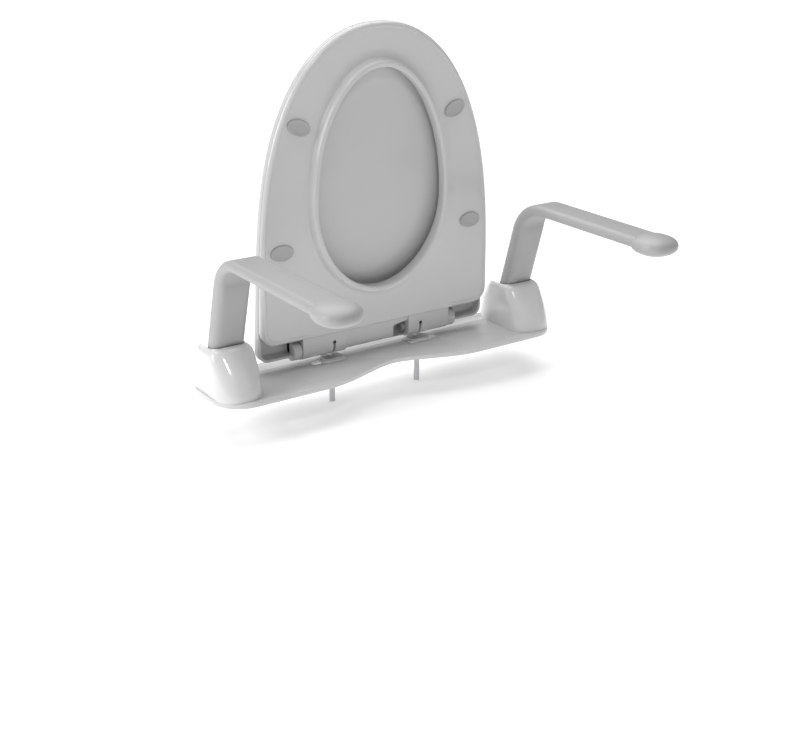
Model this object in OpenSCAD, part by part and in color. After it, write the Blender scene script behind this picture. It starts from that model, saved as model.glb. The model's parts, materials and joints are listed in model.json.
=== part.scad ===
// Toilet safety frame: a mounting plate clamped under the seat hinges, with a folding armrest
// in a domed socket at each end, and the raised seat ring and lid that share its bolts.
// X runs across, -Y to the front and Z up. The origin lies midway between the two bowl bolts,
// on the plate's underside. The seat and lid are drawn raised and the armrests down.

/* [Mounting plate] */
// Length of the plate, across the bowl
plate_len = 534; // [530:2:560]
// Reach of the plate in front of the hinge axis
plate_front = 77; // [74:1:84]
// Reach of the plate behind the hinge axis
plate_back = 41; // [40:1:50]
// Thickness of the plate
plate_t = 5.6; // [5:0.1:5.6]
// Depth of the notch in the front edge, which clears the seat's inner bead
notch_depth = 30; // [20:1:32]
// Half width of that notch
notch_half = 125; // [110:5:140]

/* [Bowl bolts and hinge posts] */
// Distance between the two bowl bolts
bolt_pitch = 140; // [136:1:150]
// Diameter of a bowl bolt
bolt_d = 8; // [6:1:8]
// Length of a bowl bolt below the plate
bolt_drop = 55; // [40:5:80]
// Height of the seat's hinge axis above the plate's underside
axis_z = 28.1; // [28:0.1:29]

/* [Domes] */
// Distance from the middle of the plate to the middle of each armrest
arm_x = 233; // [232:1:234]
// Width of a dome
dome_w = 64; // [64:1:66]
// Height of a dome above the plate's underside
dome_h = 68; // [66:1:69]
// Wall of a dome
dome_wall = 2.8; // [2:0.1:2.8]

/* [Armrests] */
// Width of an arm
arm_w = 45.4; // [40:0.2:46]
// Thickness of an arm's upright
arm_t = 24.3; // [22:0.1:25]
// Thickness of an arm's level bar
bar_t = 14.6; // [14.5:0.1:18]
// Lean of the upright, forward from vertical, in degrees
arm_lean = 16.5; // [14:0.5:18]
// Height of the level bar's middle above the plate's underside
arm_top = 186.9; // [170:0.1:200]
// Radius of the bend, on the arm's middle line
bend_r = 45; // [42:1:48]
// Reach of the level bar's end in front of the hinge axis
arm_reach = 270; // [240:1:285]
// Half length of the end knob, front to back
knob_l = 28.9; // [26:0.1:30]
// Half width of the end knob
knob_w = 27.6; // [25:0.1:28]
// Half height of the end knob
knob_h = 12.8; // [12:0.1:14]
// Angle that an arm folds up and back, in degrees
arm_fold = 90; // [60:5:90]

/* [Seat and lid] */
// Half width of the seat ring
seat_half = 180; // [170:1:182]
// Distance from the hinge axis to the seat's front tip
seat_tip = 418; // [400:1:425]
// Half width of the opening
hole_half = 97.7; // [85:0.1:100]
// Distance from the hinge axis to the opening's widest place
hole_mid = 194; // [190:1:200]
// Length of the opening from its widest place to the front
hole_front = 169; // [150:1:170]
// Length of the opening from its widest place to the back
hole_rear = 119; // [105:1:120]
// Wall of the lid
lid_wall = 3.5; // [3:0.1:4]

/* [Hidden] */
$fn = 64;
hull_fn = 32;
LEFT = -1;
RIGHT = 1;
SIDES = [LEFT, RIGHT];
eps = 0.01;

// plate
plate_front_r = 42;
plate_back_r = 36;
plate_end = plate_len / 2;
notch_steps = 32;
pad_t = 1.5;
pad_size = [52, 34];
pad_at = [138, 8];
slot_w = 11;
slot_inner = 56;
slot_outer = 101;

// dome
dome_inner = arm_x - dome_w / 2;
dome_outer = arm_x + dome_w / 2;
dome_front = 70;
dome_front_r = 28;
dome_back_r = 24;
dome_shoulder_z = 34;
dome_top_r = 12;
dome_top_front = 30;
dome_top_back = 8;
boss_r = 4.5;
boss_h = 13;
dome_screw_r = 1.7;
dome_bosses = [[-11, -60.5], [11, -60.5], [-14, 33.5], [14, 33.5]];

// arm, in its side plane: [y, z]
lean_slope = tan(arm_lean);
up_dir = [-sin(arm_lean), cos(arm_lean)];
front_dir = [-cos(arm_lean), -sin(arm_lean)];
pivot_z = 26;
bend_y = -49.6;
pivot = [bend_y + (arm_top - pivot_z) * lean_slope, pivot_z];
bend_tangent = bend_r * tan((90 - arm_lean) / 2);
bend_end = [bend_y - bend_tangent, arm_top];
bar_len = bend_end.x + arm_reach;
arm_r = 10;
bar_r = 7;
bend_steps = 12;
corner_steps = 5;
arm_gap = 1.6;
sleeve_start = 21;
core_t = 9;
core_w = 30;
bend_arc_steps = 20;
core_fit = 0.2;
core_short = 14;
sleeve_screw_r = 1.9;
sleeve_screw_head = 1.4;
screw_y = -arm_reach + core_short + 10;
hub_r = 11;
hub_w = 43;
bush_r = 7;
bush_flange_r = 10;
bush_flange_t = 1.2;
bush_len = 14;
pivot_r = 5;
pivot_fit = 0.06;
stop_r = 3.5;
knob_y = -284.4;
knob_z = 185.4;
stop_along = 16;
stop_gap = 0.35;
stop_out = core_t / 2 + stop_r + stop_gap;
stop_front = pivot + stop_along * up_dir + stop_out * front_dir;
folded_up = [sin(arm_fold - arm_lean), cos(arm_fold - arm_lean)];
folded_down = [folded_up.y, -folded_up.x];
stop_back = pivot + stop_along * folded_up + stop_out * folded_down;
cheek_t = 2.5;
cheek_gap = 23.1;
bracket_z = plate_t + 4;
bracket_front = -40;
bracket_back = 22;
bracket_screw_r = 3;
bracket_screw_at = [[-16, -33], [16, -33], [-16, 15], [16, 15]];
pin_half = cheek_gap + cheek_t + 1.3;
clip_t = 0.7;

// seat hinge: places along X, from the middle outwards
hinge = [5, axis_z];
post_x = bolt_pitch / 2;
knuckle_r = 14;
knuckle_in = 50;
knuckle_out = 118;
lid_knuckle_in = 118.6;
lid_knuckle_out = 131;
lid_knuckle_r = 13;
hinge_pin_r = 4;
hinge_pin_in = 60;
hinge_pin_out = 127;
hinge_fit = 0.05;
hub_bore_r = 9;
post_hub_r = 8.4;
post_hub_w = 15;
neck_t = 2.6;
neck_w = 7;
neck_slot = 3.4;
slot_from = 152;
slot_turn = 145;
damper_in = 80;
damper_out = 112;
button_r = 6.6;
button_bore_r = 7;
button_in = 45.5;
button_out = 54;
button_stop = 57.4;
button_recess = 4;
spring_wire = 0.5;
spring_r = 3;
spring_turns = 6;
spring_pitch = 1.55;
spring_in = button_out - button_recess + spring_wire + 0.1;
washer_size = [38, 25];
washer_t = 2;
foot_size = [30, 20];
foot_t = 3;
bolt_neck_r = 3.2;

// seat and lid, raised: [y, distance above the hinge axis]
seat_wide_at = 59;
seat_bottom = 19;
seat_corner_r = 20;
seat_flat = -13.2;
seat_lip = -14.9;
seat_lip_w = 6;
bead_front = -23.2;
bead_w = 6;
bead_foot_w = 15;
skirt_front = -7;
pocket_in = 33;
pocket_r = 9.5;
skirt_r = 12;
seat_back_low = [-2.5, 39];
seat_back_high = [-9.5, 150];
lid_gap = 0.5;
lid_bottom = -6.3;
lid_corner_r = 14;
lid_cut_z = 15;
buffer_face = -16.1;
buffer_r = 10.4;
buffer_stretch = 12;
lid_buffer_r = 6;
far = 500;

// The two sides are mirror images: "left" lies at -X
module on_side(side) { mirror([side < 0 ? 1 : 0, 0, 0]) children(); }

// Draws a [y, z] outline in the side plane, with its extrusion along X
module side_plane(x0) { translate([x0, 0, 0]) rotate([90, 0, 90]) children(); }

// A round bar along X from x0 to x1 through the point [y, z]
module bar_x(x0, x1, at, r) {
    side_plane(x0) translate([at.x, at.y, 0]) cylinder(h = x1 - x0, r = r);
}

// Draws an [x, height above the hinge axis] outline, raised, from y0 back to y1
module raised(y0, y1) {
    translate([0, y1, axis_z]) rotate([90, 0, 0]) linear_extrude(y1 - y0) children();
}

module round_box(size, r) {
    square([size.x - 2 * r, size.y], center = true);
    square([size.x, size.y - 2 * r], center = true);
    for (x = SIDES, y = SIDES) translate([x * (size.x / 2 - r), y * (size.y / 2 - r)]) circle(r);
}

module stadium(x0, x1, w) {
    translate([x0 + w / 2, -w / 2]) square([x1 - x0 - w, w]);
    for (x = [x0 + w / 2, x1 - w / 2]) translate([x, 0]) circle(w / 2);
}

function arc(c, r, a0, a1, n = 10) = [for (i = [0:n]) c + r * [cos(a0 + (a1 - a0) * i / n),
                                                               sin(a0 + (a1 - a0) * i / n)]];
function mirrored(points) = [for (i = [len(points) - 1:-1:0]) [-points[i].x, points[i].y]];

// ---- mounting plate ----

function notch_y(x) = -plate_front + notch_depth * pow(cos(90 * pow(min(1, abs(x) / notch_half), 0.85)), 2);

plate_half = concat(
    [for (i = [0:notch_steps]) [notch_half * i / notch_steps, notch_y(notch_half * i / notch_steps)]],
    arc([plate_end - plate_front_r, plate_front_r - plate_front], plate_front_r, -90, 0),
    arc([plate_end - plate_back_r, plate_back - plate_back_r], plate_back_r, 0, 90)
);

module mounting_plate() {
    color("white") difference() {
        linear_extrude(plate_t) polygon(concat(plate_half, mirrored(plate_half)));
        for (side = SIDES) on_side(side) {
            translate([0, 0, -eps]) linear_extrude(plate_t + 2 * eps) stadium(slot_inner, slot_outer, slot_w);
            translate([pad_at.x, pad_at.y, -eps]) linear_extrude(pad_t + eps) round_box(pad_size, 4);
            for (at = bracket_screw_at)
                translate([arm_x + at.x, at.y, -eps]) cylinder(h = plate_t + 1, r = bracket_screw_r);
            for (at = dome_bosses) translate([arm_x + at.x, at.y, -eps]) {
                cylinder(h = plate_t + 1, r = 2.1);
                cylinder(h = 2.6, r = 4.1);
            }
        }
    }
}

module plate_pads() {
    color("dimgray") for (side = SIDES) on_side(side)
        translate([pad_at.x, pad_at.y, 0]) linear_extrude(pad_t) round_box(pad_size - [0.2, 0.2], 4);
}

module slot_washers() {
    color("whitesmoke") for (side = SIDES) on_side(side) translate([post_x, 0, plate_t]) difference() {
        linear_extrude(washer_t) round_box(washer_size, 6);
        translate([0, 0, -eps]) cylinder(h = washer_t + 1, r = bolt_neck_r + 0.1);
    }
}

// ---- domes ----

module dome_plan(inset, front_draft, h) {
    x0 = dome_inner + inset;
    x1 = dome_outer - inset;
    y0 = -dome_front + inset + front_draft;
    y1 = plate_back - 1 - inset;
    rf = dome_front_r - inset;
    rb = dome_back_r - inset;
    for (x = [x0 + rf, x1 - rf]) translate([x, y0 + rf, 0]) cylinder(h = h, r = rf, $fn = hull_fn);
    for (x = [x0 + rb, x1 - rb]) translate([x, y1 - rb, 0]) cylinder(h = h, r = rb, $fn = hull_fn);
}

module dome_shape(inset) {
    hull() {
        translate([0, 0, plate_t]) dome_plan(inset, 0, 1);
        translate([0, 0, dome_shoulder_z - 1 - inset]) dome_plan(inset + 1.5, 7, 1);
        for (x = [dome_inner + dome_top_r + 1, dome_outer - dome_top_r - 1], y = [-dome_top_front, dome_top_back])
            translate([x, y, dome_h - dome_top_r]) sphere(r = dome_top_r - inset, $fn = hull_fn);
    }
}

// The room that the sleeve sweeps through between down and folded, seen from the side
function front_face_y(z) = pivot.x - (z - pivot_z) * lean_slope - (arm_t / 2) / cos(arm_lean) - arm_gap;
function folded_face_z(y) = pivot_z - (arm_t / 2 + arm_gap) / folded_up.x
                            + (y - pivot.x) * folded_up.y / folded_up.x;

module arm_slot() {
    side_plane(arm_x - arm_w / 2 - arm_gap) linear_extrude(arm_w + 2 * arm_gap)
        polygon([[front_face_y(34), 34], [front_face_y(90), 90], [90, 90],
                 [90, folded_face_z(90)], [26, folded_face_z(26)]]);
}

module dome(side) {
    color("white") on_side(side) difference() {
        union() {
            difference() {
                dome_shape(0);
                dome_shape(dome_wall);
                translate([dome_inner + dome_wall, -dome_front + dome_front_r, plate_t - 1])
                    cube([dome_w - 2 * dome_wall, 50, 2]);
                translate([0, 0, plate_t - 0.5]) dome_plan(dome_wall, 0, 1);
            }
            intersection() {
                dome_shape(dome_wall / 2);
                for (at = dome_bosses) translate([arm_x + at.x, at.y, plate_t]) cylinder(h = boss_h, r = boss_r);
            }
        }
        arm_slot();
        for (at = dome_bosses) translate([arm_x + at.x, at.y, plate_t - eps]) cylinder(h = boss_h - 2, r = dome_screw_r);
    }
}

module dome_screws() {
    color("silver") for (side = SIDES) on_side(side) for (at = dome_bosses)
        translate([arm_x + at.x, at.y, 0]) {
            translate([0, 0, 0.3]) cylinder(h = 2.1, r = 3.8);
            translate([0, 0, 0.3]) cylinder(h = plate_t + boss_h - 4, r = dome_screw_r);
        }
}

// ---- pivot brackets ----

module cheek(x0) {
    side_plane(x0) linear_extrude(cheek_t) {
        polygon([[-36, plate_t + 1], stop_front - [5.5, 1], stop_front + [0, 6], pivot + [4, 10],
                 stop_back + [5.8, 2], [21, plate_t + 1]]);
        translate(stop_front) circle(6);
        translate(pivot) circle(11);
        translate(stop_back) circle(6);
    }
}

module pivot_bracket(side) {
    color("silver") on_side(side) difference() {
        union() {
            translate([arm_x - cheek_gap - cheek_t, bracket_front, plate_t])
                cube([2 * (cheek_gap + cheek_t), bracket_back - bracket_front, bracket_z - plate_t]);
            cheek(arm_x - cheek_gap - cheek_t);
            cheek(arm_x + cheek_gap);
        }
        bar_x(arm_x - far, arm_x + far, pivot, pivot_r);
        for (at = [stop_front, stop_back]) bar_x(arm_x - far, arm_x + far, at, stop_r);
        for (at = bracket_screw_at)
            translate([arm_x + at.x, at.y, 0]) cylinder(h = bracket_z + 1, r = bracket_screw_r);
    }
}

module bracket_screws() {
    color("gray") for (side = SIDES) on_side(side) for (at = bracket_screw_at)
        translate([arm_x + at.x, at.y, 0]) {
            translate([0, 0, 0.4]) cylinder(h = bracket_z, r = bracket_screw_r);
            difference() {
                translate([0, 0, bracket_z]) cylinder(h = 3.2, r = 5);
                translate([0, 0, bracket_z + 1.4]) cylinder(h = 3, r = 2.3, $fn = 6);
            }
        }
}

module pivot_pin(side) {
    color("silver") on_side(side) difference() {
        bar_x(arm_x - pin_half, arm_x + pin_half, pivot, pivot_r);
        for (x = [cheek_gap + cheek_t + 0.1, -cheek_gap - cheek_t - 0.1 - clip_t])
            side_plane(arm_x + x) translate(pivot) difference() {
                cylinder(h = clip_t, r = pivot_r + 1);
                cylinder(h = clip_t, r = pivot_r - 0.6);
            }
    }
}

module pivot_circlips() {
    color("dimgray") for (side = SIDES) on_side(side)
        for (x = [cheek_gap + cheek_t + 0.1, -cheek_gap - cheek_t - 0.1 - clip_t])
            side_plane(arm_x + x) translate(pivot) difference() {
                cylinder(h = clip_t, r = pivot_r + 1.8);
                translate([0, 0, -eps]) cylinder(h = clip_t + 1, r = pivot_r - 0.6);
                translate([0, -2, -eps]) cube([pivot_r + 3, 4, clip_t + 1]);
            }
}

module stop_pins(side) {
    color("silver") on_side(side) for (at = [stop_front, stop_back])
        bar_x(arm_x - cheek_gap - cheek_t, arm_x + cheek_gap + cheek_t, at, stop_r);
}

// ---- armrests ----

module level_bar(to_end, t, w, r) {
    translate([bend_end.x, bend_end.y, 0]) rotate([0, 0, 180]) rotate([90, 0, 90])
        linear_extrude(bar_len - to_end) round_box([t, w], r);
}

// One side of a flat bar bent to the arm's path, `off` outside its middle line
function bent_line(from, to_end, off) = concat(
    [pivot + from * up_dir - off * front_dir],
    arc([bend_end.x, arm_top - bend_r], bend_r + off, arm_lean, 90, bend_arc_steps),
    [[-arm_reach + to_end, arm_top + off]]
);

function reversed(points) = [for (i = [len(points) - 1:-1:0]) points[i]];

// A flat bar bent to the arm's path, from a distance above the pivot
module flat_bar(from, to_end, t, w) {
    side_plane(arm_x - w / 2) linear_extrude(w)
        polygon(concat(bent_line(from, to_end, t / 2), reversed(bent_line(from, to_end, -t / 2))));
}

module arm_core(side) {
    color("gray") on_side(side) difference() {
        union() {
            flat_bar(6, core_short, core_t, core_w);
            bar_x(arm_x - hub_w / 2, arm_x + hub_w / 2, pivot, hub_r);
        }
        bar_x(arm_x - hub_w, arm_x + hub_w, pivot, bush_r);
        translate([arm_x, screw_y, arm_top - core_t]) cylinder(h = core_t + 1, r = sleeve_screw_r + 0.05);
    }
}

// The sleeve thins from upright to level bar as it goes round the bend
function thinned(i, thick, thin) = thin + (thick - thin) * pow(1 - i / bend_steps, 3);

// A rounded section's points: [across the arm's thickness, along X]
function section(t, r) = [
    for (corner = [[1, 1, 0], [-1, 1, 90], [-1, -1, 180], [1, -1, 270]])
        each arc([corner.x * (t / 2 - r), corner.y * (arm_w / 2 - r)], r, corner.z, corner.z + 90, corner_steps)
];

// A section carried to a place on the arm's path, facing `out` away from the bend's centre
function carried(points, at, out) = [for (p = points) [arm_x + p.y, at.x + p.x * out.x, at.y + p.x * out.y]];

function bend_station(i) =
    let (a = arm_lean + (90 - arm_lean) * i / bend_steps, out = [cos(a), sin(a)])
    carried(section(thinned(i, arm_t, bar_t), thinned(i, arm_r, bar_r)),
            [bend_end.x, arm_top - bend_r] + bend_r * out, out);

sleeve_stations = concat(
    [carried(section(arm_t, arm_r), pivot + sleeve_start * up_dir, -front_dir)],
    [for (i = [0:bend_steps]) bend_station(i)],
    [carried(section(bar_t, bar_r), [-arm_reach, arm_top], [0, 1])]
);

module sleeve_solid() {
    n = len(sleeve_stations[0]);
    last = len(sleeve_stations) - 1;
    polyhedron(
        points = [for (station = sleeve_stations) each station],
        faces = concat(
            [[for (j = [n - 1:-1:0]) j], [for (j = [0:n - 1]) last * n + j]],
            [for (i = [0:last - 1], j = [0:n - 1])
                [i * n + j, i * n + (j + 1) % n, (i + 1) * n + (j + 1) % n]],
            [for (i = [0:last - 1], j = [0:n - 1])
                [i * n + j, (i + 1) * n + (j + 1) % n, (i + 1) * n + j]]
        )
    );
}

module arm_sleeve(side) {
    color("darkgray") on_side(side) difference() {
        sleeve_solid();
        flat_bar(sleeve_start - 1, core_short - 1, core_t + 2 * core_fit, core_w + 2 * core_fit);
        translate([arm_x, screw_y, arm_top - bar_t / 2 - 1]) cylinder(h = bar_t / 2, r = 2);
        translate([arm_x, screw_y, arm_top - bar_t / 2 - 1]) cylinder(h = 1.4 + sleeve_screw_head, r = 4);
    }
}

module pivot_bushes(side) {
    color("ivory") on_side(side) for (end = SIDES) {
        face = arm_x + end * hub_w / 2;
        difference() {
            union() {
                bar_x(min(face, face - end * bush_len), max(face, face - end * bush_len), pivot, bush_r);
                bar_x(min(face, face + end * bush_flange_t), max(face, face + end * bush_flange_t),
                      pivot, bush_flange_r);
            }
            bar_x(face - bush_len - 1, face + bush_len + 1, pivot, pivot_r + pivot_fit);
        }
    }
}

// An egg-shaped knob, socketed over the level bar's end
module end_knob(side) {
    color("lightgray") on_side(side) difference() {
        translate([arm_x, knob_y, knob_z]) resize(2 * [knob_w, knob_l, knob_h]) sphere(r = knob_l, $fn = hull_fn);
        side_plane(arm_x) level_bar(-0.1, bar_t, arm_w, bar_r);
    }
}

module sleeve_screw(side) {
    color("silver") on_side(side) translate([arm_x, screw_y, arm_top - bar_t / 2 + 0.2]) {
        translate([0, 0, sleeve_screw_head - eps]) cylinder(h = bar_t / 2 - sleeve_screw_head, r = sleeve_screw_r);
        cylinder(h = sleeve_screw_head, r = 3.6);
    }
}

// ---- hinge posts and bolts ----

module hinge_post(side) {
    color("whitesmoke") on_side(side) difference() {
        union() {
            translate([post_x, 0, plate_t + washer_t]) linear_extrude(foot_t) round_box(foot_size, 8);
            translate([post_x - neck_t / 2, hinge.x - neck_w / 2, plate_t + washer_t])
                cube([neck_t, neck_w, axis_z - plate_t - washer_t]);
            bar_x(post_x - post_hub_w / 2, post_x + post_hub_w / 2, hinge, post_hub_r);
        }
        bar_x(0, far, hinge, hinge_pin_r);
        translate([post_x, 0, 0]) cylinder(h = plate_t + washer_t + foot_t - 0.8, r = bolt_neck_r);
    }
}

module hinge_pin(side) {
    color("silver") on_side(side) bar_x(hinge_pin_in, hinge_pin_out, hinge, hinge_pin_r);
}

module bowl_bolt(side) {
    color("silver") on_side(side) translate([post_x, 0, -bolt_drop]) {
        cylinder(h = bolt_drop + plate_t - 0.3, r = bolt_d / 2);
        cylinder(h = bolt_drop + plate_t + washer_t + foot_t - 0.8, r = bolt_neck_r);
    }
}

// ---- seat ring ----

// Half of an egg outline: round corners at the bottom, straight sides, then a blunt point
function egg(half, bottom, tip, corner) = concat(
    arc([half - corner, bottom + corner], corner, -90, 0),
    [for (i = [0:24]) let (a = 90 * i / 24)
        [half * pow(max(0, cos(a)), 2 / 2.15), seat_wide_at + (tip - seat_wide_at) * pow(sin(a), 2 / 2.7)]]
);
function whole(points) = concat(points, mirrored(points));

module seat_outline(inset) {
    polygon(whole(egg(seat_half - inset, seat_bottom + inset, seat_tip - inset,
                      max(4, seat_corner_r - inset))));
}

module hole_outline(grow) {
    polygon([for (i = [0:71]) let (a = i * 5)
        [(hole_half + grow) * cos(a),
         hole_mid + ((a < 180 ? hole_front : hole_rear) + grow) * sin(a)]]);
}

module seat_body() {
    intersection() {
        raised(seat_flat, 0) difference() {
            seat_outline(0);
            hole_outline(0);
        }
        side_plane(-far) translate([0, axis_z]) linear_extrude(2 * far)
            polygon([[seat_flat, -40], [-2.5, -40], seat_back_low, seat_back_high,
                     [seat_back_high.x, far], [seat_flat, far]]);
    }
    raised(seat_lip, seat_flat + 1) difference() {
        seat_outline(0);
        seat_outline(seat_lip_w);
    }
}

module seat_bead() {
    difference() {
        hull() {
            raised(seat_flat - 1, seat_flat + 1) hole_outline(bead_foot_w);
            raised(bead_front, bead_front + 1) hole_outline(bead_w);
        }
        raised(bead_front - 1, 0) hole_outline(0);
    }
}

module seat_knuckle() {
    bar_x(knuckle_in, knuckle_out, hinge, knuckle_r);
    translate([knuckle_in, hinge.x - knuckle_r, axis_z])
        cube([knuckle_out - knuckle_in, knuckle_r - hinge.x - 2.6, seat_bottom + 4]);
}

// The rear skirt that joins the two knuckles
module seat_skirt() {
    bar_x(-knuckle_in - 1, knuckle_in + 1, hinge, skirt_r);
    translate([-knuckle_in - 1, skirt_front, axis_z]) cube([2 * knuckle_in + 2, -skirt_front - 2.6, seat_bottom + 4]);
}

module seat_ring() {
    color("gainsboro") difference() {
        union() {
            seat_body();
            seat_bead();
            seat_skirt();
            for (side = SIDES) on_side(side) seat_knuckle();
        }
        // finger pocket in front of the release button
        bar_x(pocket_in, knuckle_in, hinge, pocket_r);
        translate([pocket_in, -far, axis_z - pocket_r]) cube([knuckle_in - pocket_in, far + hinge.x, 2 * pocket_r]);
        bar_x(knuckle_in - 1, button_stop, hinge, button_bore_r);
        for (side = SIDES) on_side(side) {
            bar_x(button_stop - eps, damper_out, hinge, hub_bore_r);
            bar_x(damper_out - eps, far, hinge, hinge_pin_r + hinge_fit);
            side_plane(post_x - neck_slot / 2) translate(hinge) rotate([0, 0, slot_from])
                rotate_extrude(angle = slot_turn) translate([hub_bore_r - 1, 0]) square([10, neck_slot]);
        }
    }
}

// Buffers: a long oval pad each side of the opening, front and back, turned to follow the rim
buffer_at = [[119, 298, 20], [148, 142, 0]];
module seat_buffers() {
    color("silver") for (side = SIDES) on_side(side) for (at = buffer_at)
        raised(buffer_face, seat_flat) translate([at.x, at.y]) rotate(at.z) {
            for (x = SIDES) translate([x * buffer_stretch / 2, 0]) circle(buffer_r);
            square([buffer_stretch, 2 * buffer_r], center = true);
        }
}

module damper(side) {
    color("white") on_side(side) difference() {
        bar_x(damper_in, damper_out - 0.2, hinge, hub_bore_r - 0.05);
        bar_x(damper_in - 1, damper_out + 1, hinge, hinge_pin_r + hinge_fit);
    }
}

module button_spring() {
    color("silver") for (i = [0:spring_turns - 1])
        side_plane(spring_in + i * spring_pitch) translate(hinge)
            rotate_extrude() translate([spring_r, 0]) circle(spring_wire, $fn = 16);
}

module release_button() {
    color("dimgray") difference() {
        bar_x(button_in, button_out, hinge, button_r);
        bar_x(button_out - button_recess, button_out + 1, hinge, spring_r + 1);
    }
}

// ---- lid ----

function lid_back(inset) = [[16 - inset, lid_bottom - 1], [15 - inset, 20], [13.3 - inset, 38.6],
                            [7.5 - inset, 81], [3 - inset, 161], [2 - inset, 240], [1.4 - inset, seat_tip + 1]];

module lid_solid(inset, front) {
    intersection() {
        raised(-20, 20) polygon(whole(egg(seat_half - inset, lid_bottom + inset, seat_tip - inset,
                                          lid_corner_r - inset)));
        side_plane(-far) translate([0, axis_z]) linear_extrude(2 * far)
            polygon(concat(lid_back(inset), [[seat_back_high.x + front, seat_tip + 1],
                    seat_back_high + [front, 0], seat_back_low + [front, 0],
                    [seat_back_low.x + front, lid_bottom - 1]]));
    }
}

module lid() {
    color("white") difference() {
        union() {
            difference() {
                lid_solid(0, lid_gap);
                lid_solid(lid_wall, lid_gap - 5);
            }
            for (side = SIDES) on_side(side) {
                bar_x(lid_knuckle_in, lid_knuckle_out, hinge, lid_knuckle_r);
                translate([lid_knuckle_in, hinge.x, axis_z + lid_bottom])
                    cube([lid_knuckle_out - lid_knuckle_in, 8, lid_knuckle_r - lid_bottom]);
            }
        }
        translate([-lid_knuckle_in + eps, -far / 2, axis_z - far])
            cube([2 * (lid_knuckle_in - eps), far, far + lid_cut_z]);
        for (side = SIDES) on_side(side)
            bar_x(lid_knuckle_in - 1, hinge_pin_out + 0.5, hinge, hinge_pin_r + hinge_fit);
    }
}

// Round buffers on the lid's inside, which meet the seat's top face
lid_buffer_at = [[148, 100], [104, 330]];
module lid_buffers() {
    color("lightgray") for (side = SIDES) on_side(side) for (at = lid_buffer_at)
        intersection() {
            raised(-20, 20) translate([at.x, at.y]) circle(lid_buffer_r);
            side_plane(-far) translate([0, axis_z]) linear_extrude(2 * far)
                polygon(concat(lid_back(lid_wall), [[seat_back_high.x + lid_gap, seat_tip + 1],
                        seat_back_high + [lid_gap, 0], seat_back_low + [lid_gap, 0],
                        [seat_back_low.x + lid_gap, lid_bottom - 1]]));
        }
}

mounting_plate();
plate_pads();
slot_washers();
dome(LEFT);  // dome_left
dome(RIGHT);  // dome_right
dome_screws();
pivot_bracket(LEFT);  // pivot_bracket_left
pivot_bracket(RIGHT);  // pivot_bracket_right
bracket_screws();
pivot_pin(LEFT);  // pivot_pin_left
pivot_pin(RIGHT);  // pivot_pin_right
pivot_circlips();
stop_pins(LEFT);  // stop_pins_left
stop_pins(RIGHT);  // stop_pins_right
hinge_post(LEFT);  // hinge_post_left
hinge_post(RIGHT);  // hinge_post_right
hinge_pin(LEFT);  // hinge_pin_left
hinge_pin(RIGHT);  // hinge_pin_right
bowl_bolt(LEFT);  // bowl_bolt_left
bowl_bolt(RIGHT);  // bowl_bolt_right
arm_core(LEFT);  // arm_core_left
arm_core(RIGHT);  // arm_core_right
arm_sleeve(LEFT);  // arm_sleeve_left
arm_sleeve(RIGHT);  // arm_sleeve_right
pivot_bushes(LEFT);  // pivot_bushes_left
pivot_bushes(RIGHT);  // pivot_bushes_right
end_knob(LEFT);  // end_knob_left
end_knob(RIGHT);  // end_knob_right
sleeve_screw(LEFT);  // sleeve_screw_left
sleeve_screw(RIGHT);  // sleeve_screw_right
seat_ring();
seat_buffers();
damper(LEFT);  // damper_left
damper(RIGHT);  // damper_right
button_spring();
release_button();
lid();
lid_buffers();
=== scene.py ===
# %% [markdown]
# # Toilet safety frame
# A white steel plate lies across a toilet bowl, held down by the two bolts that also hold the
# seat's hinges. A dome at each end of the plate hides a folding armrest's pivot. The seat ring and
# its lid stand raised. This lesson dresses the measured model: it keeps every place and size from
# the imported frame, and adds the soft edges, moulded skins and finishes that plain solids lack.

import json
import math

import bmesh
import bpy
from mathutils import Matrix, Vector


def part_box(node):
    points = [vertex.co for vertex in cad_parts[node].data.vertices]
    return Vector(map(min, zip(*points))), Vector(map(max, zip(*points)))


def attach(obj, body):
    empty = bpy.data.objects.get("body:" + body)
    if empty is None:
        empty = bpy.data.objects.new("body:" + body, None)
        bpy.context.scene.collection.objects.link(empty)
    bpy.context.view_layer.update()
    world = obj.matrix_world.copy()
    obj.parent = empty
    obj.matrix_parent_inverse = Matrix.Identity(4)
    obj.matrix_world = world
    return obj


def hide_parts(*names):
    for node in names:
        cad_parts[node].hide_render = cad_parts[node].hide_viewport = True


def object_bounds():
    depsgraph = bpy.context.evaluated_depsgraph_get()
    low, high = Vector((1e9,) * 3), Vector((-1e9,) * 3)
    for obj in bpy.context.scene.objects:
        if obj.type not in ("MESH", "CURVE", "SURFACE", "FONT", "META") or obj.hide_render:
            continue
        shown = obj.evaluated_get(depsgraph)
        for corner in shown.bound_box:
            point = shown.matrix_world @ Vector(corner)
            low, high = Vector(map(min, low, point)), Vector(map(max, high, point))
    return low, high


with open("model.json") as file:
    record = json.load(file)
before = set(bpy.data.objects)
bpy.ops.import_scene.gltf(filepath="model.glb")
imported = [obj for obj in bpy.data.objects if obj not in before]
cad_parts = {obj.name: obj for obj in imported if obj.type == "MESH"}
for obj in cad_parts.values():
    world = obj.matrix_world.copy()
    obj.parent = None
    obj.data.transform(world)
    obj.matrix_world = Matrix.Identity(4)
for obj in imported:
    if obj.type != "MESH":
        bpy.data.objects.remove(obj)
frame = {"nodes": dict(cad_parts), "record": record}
cad_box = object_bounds()
MM = 0.001
print("nodes in the frame:", len(frame["nodes"]))

# %% [markdown]
# ## Places that everything hangs on
# The seat turns on one line across the plate, and each arm turns on a pin inside its dome. Both
# lines are joints of the frame, so their places are read from the record. The rest of the driving
# sizes are the maker's own: an egg outline for the seat, a smaller egg for its opening.

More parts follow.
